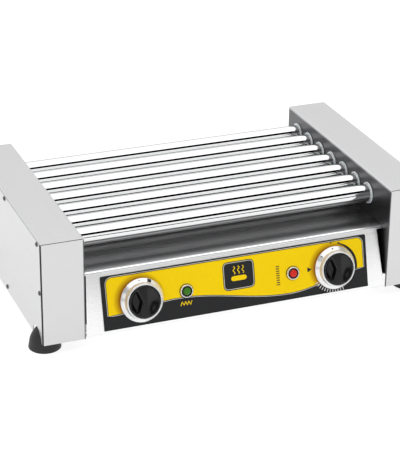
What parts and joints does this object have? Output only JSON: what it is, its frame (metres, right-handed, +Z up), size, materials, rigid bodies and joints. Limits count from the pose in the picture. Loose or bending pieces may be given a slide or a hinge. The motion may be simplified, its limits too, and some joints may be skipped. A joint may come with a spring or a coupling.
{
  "type": "hot dog roller grill",
  "caption": "Counter-top hot dog roller grill: chain-driven heated rollers between two steel end housings, tilted control panel with knobs and lamps, rear drip tray, rubber feet.",
  "frame": {"origin": "middle of the whole footprint, on the counter", "axes": "+X to the right along the rollers, +Y from the control panel to the back, +Z up"},
  "size_m": [0.584, 0.3672, 0.163],
  "materials": {
    "satin_steel": "satin stainless sheet, fine lengthwise grain",
    "roller_steel": "mirror-polished stainless tube",
    "zinc_steel": "zinc-plated steel",
    "ptfe": "white PTFE",
    "rubber": "matt black rubber",
    "black_plastic": "gloss black phenolic",
    "chrome_trim": "polished chrome plating",
    "printed_label": "yellow and black printed film with a silver pinstripe",
    "green_lens": "clear green moulded lens",
    "red_lens": "clear red moulded lens",
    "heater_sheath": "heat-darkened stainless sheath",
    "chain_steel": "oiled steel",
    "motor_paint": "dark grey paint"
  },
  "bodies": {
    "body": {"left_end_box": "satin_steel", "right_end_box": "satin_steel", "left_side_cover": "satin_steel", "right_side_cover": "satin_steel", "control_panel": "satin_steel", "label_plate": "printed_label", "rear_panel": "satin_steel", "base_plate": "zinc_steel", "cable_gland": "black_plastic", "foot_front_left": "rubber", "foot_front_right": "rubber", "foot_rear_left": "rubber", "foot_rear_right": "rubber", "bushing_left_1": "ptfe", "bushing_left_2": "ptfe", "bushing_left_3": "ptfe", "bushing_left_4": "ptfe", "bushing_left_5": "ptfe", "bushing_left_6": "ptfe", "bushing_left_7": "ptfe", "bushing_right_1": "ptfe", "bushing_right_2": "ptfe", "bushing_right_3": "ptfe", "bushing_right_4": "ptfe", "bushing_right_5": "ptfe", "bushing_right_6": "ptfe", "bushing_right_7": "ptfe", "drive_chain": "chain_steel", "gear_motor": "motor_paint", "heater_rack": "heater_sheath", "heater_bracket": "zinc_steel", "thermostat": "zinc_steel", "selector_switch": "black_plastic", "green_lamp_bezel": "chrome_trim", "green_lamp_lens": "green_lens", "red_lamp_bezel": "chrome_trim", "red_lamp_lens": "red_lens"},
    "roller_1_body": {"roller_1": "roller_steel", "sprocket_1": "zinc_steel"},
    "roller_2_body": {"roller_2": "roller_steel", "sprocket_2": "zinc_steel"},
    "roller_3_body": {"roller_3": "roller_steel", "sprocket_3": "zinc_steel"},
    "roller_4_body": {"roller_4": "roller_steel", "sprocket_4": "zinc_steel"},
    "roller_5_body": {"roller_5": "roller_steel", "sprocket_5": "zinc_steel"},
    "roller_6_body": {"roller_6": "roller_steel", "sprocket_6": "zinc_steel"},
    "roller_7_body": {"roller_7": "roller_steel", "sprocket_7": "zinc_steel"},
    "motor_output": {"motor_shaft": "zinc_steel", "motor_sprocket": "zinc_steel"},
    "switch_control": {"switch_shaft": "zinc_steel", "switch_skirt": "chrome_trim", "switch_knob": "black_plastic"},
    "thermostat_control": {"thermostat_shaft": "zinc_steel", "thermostat_skirt": "chrome_trim", "thermostat_knob": "black_plastic"},
    "tray": {"drip_tray": "satin_steel"}
  },
  "joints": [
    {"name": "roller_1_spin", "type": "hinge", "parent": "body", "child": "roller_1_body", "pos_m": [0, -0.10627, 0.1324], "axis": [1, 0, 0], "continuous": true},
    {"name": "roller_2_spin", "type": "hinge", "parent": "body", "child": "roller_2_body", "pos_m": [0, -0.06627, 0.1324], "axis": [1, 0, 0], "continuous": true},
    {"name": "roller_3_spin", "type": "hinge", "parent": "body", "child": "roller_3_body", "pos_m": [0, -0.02627, 0.1324], "axis": [1, 0, 0], "continuous": true},
    {"name": "roller_4_spin", "type": "hinge", "parent": "body", "child": "roller_4_body", "pos_m": [0, 0.01373, 0.1324], "axis": [1, 0, 0], "continuous": true},
    {"name": "roller_5_spin", "type": "hinge", "parent": "body", "child": "roller_5_body", "pos_m": [0, 0.05373, 0.1324], "axis": [1, 0, 0], "continuous": true},
    {"name": "roller_6_spin", "type": "hinge", "parent": "body", "child": "roller_6_body", "pos_m": [0, 0.09373, 0.1324], "axis": [1, 0, 0], "continuous": true},
    {"name": "roller_7_spin", "type": "hinge", "parent": "body", "child": "roller_7_body", "pos_m": [0, 0.13373, 0.1324], "axis": [1, 0, 0], "continuous": true},
    {"name": "motor_spin", "type": "hinge", "parent": "body", "child": "motor_output", "pos_m": [0.2355, 0.01373, 0.062], "axis": [1, 0, 0], "continuous": true},
    {"name": "switch_turn", "type": "hinge", "parent": "body", "child": "switch_control", "pos_m": [-0.1391, -0.16319, 0.05381], "axis": [0, -0.9703, 0.2419], "range_deg": [-270, 0]},
    {"name": "thermostat_turn", "type": "hinge", "parent": "body", "child": "thermostat_control", "pos_m": [0.1451, -0.16319, 0.05381], "axis": [0, -0.9703, 0.2419], "range_deg": [-270, 0]},
    {"name": "tray_slide", "type": "slide", "parent": "body", "child": "tray", "axis": [0, 1, 0], "range_m": [0, 0.23]}
  ],
  "couplings": [
    {"joint": "roller_2_spin", "follows": "roller_1_spin", "ratio": 1},
    {"joint": "roller_3_spin", "follows": "roller_1_spin", "ratio": 1},
    {"joint": "roller_4_spin", "follows": "roller_1_spin", "ratio": 1},
    {"joint": "roller_5_spin", "follows": "roller_1_spin", "ratio": 1},
    {"joint": "roller_6_spin", "follows": "roller_1_spin", "ratio": 1},
    {"joint": "roller_7_spin", "follows": "roller_1_spin", "ratio": 1},
    {"joint": "motor_spin", "follows": "roller_1_spin", "ratio": 1.3}
  ]
}
